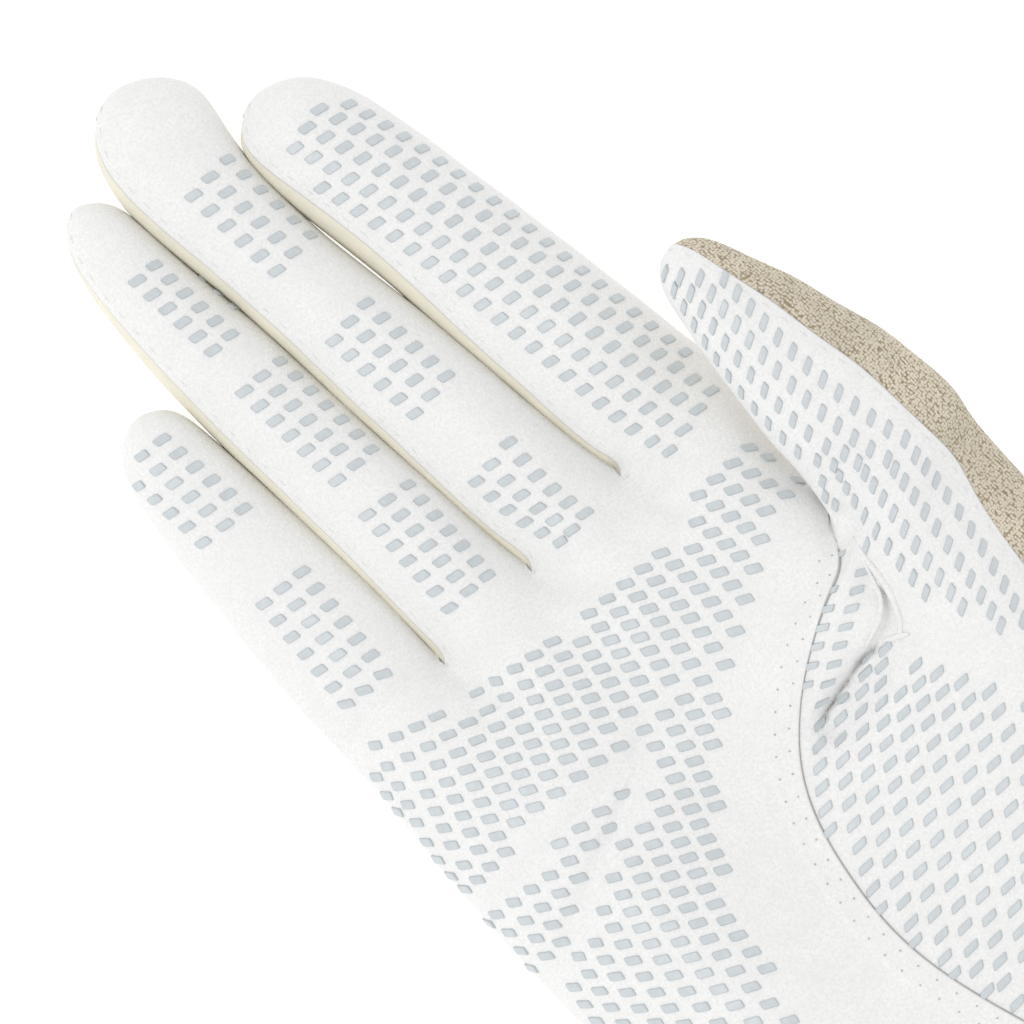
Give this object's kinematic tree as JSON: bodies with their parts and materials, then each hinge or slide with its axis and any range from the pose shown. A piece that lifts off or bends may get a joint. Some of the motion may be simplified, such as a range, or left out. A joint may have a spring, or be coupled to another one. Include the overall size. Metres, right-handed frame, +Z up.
{
  "type": "golf glove",
  "caption": "Soft right-hand sports glove, filled as if worn and lying palm up, with a grip-print palm panel, leather back and open wrist.",
  "frame": {"origin": "on the flat patch of the back of the hand that meets the surface, under the middle of the palm", "axes": "+Y along the fingers towards the tips, +X towards the thumb side, +Z up out of the palm"},
  "size_m": [0.1013, 0.2059, 0.0381],
  "materials": {
    "palm_suede": "matt white microfibre suede with pale grey-blue raised grip pads",
    "back_leather": "cream pebbled leather, low sheen",
    "binding_tape": "plain matt white binding",
    "tab_rubber": "plain off-white moulded tab"
  },
  "bodies": {
    "root": {"palm_panel": "palm_suede", "thumb_panel": "palm_suede", "hand_back": "back_leather", "thumb_back": "back_leather", "fourchette_index_middle": "back_leather", "fourchette_middle_ring": "back_leather", "fourchette_ring_little": "back_leather", "wrist_binding": "binding_tape", "closure_tab": "tab_rubber"}
  },
  "joints": []
}
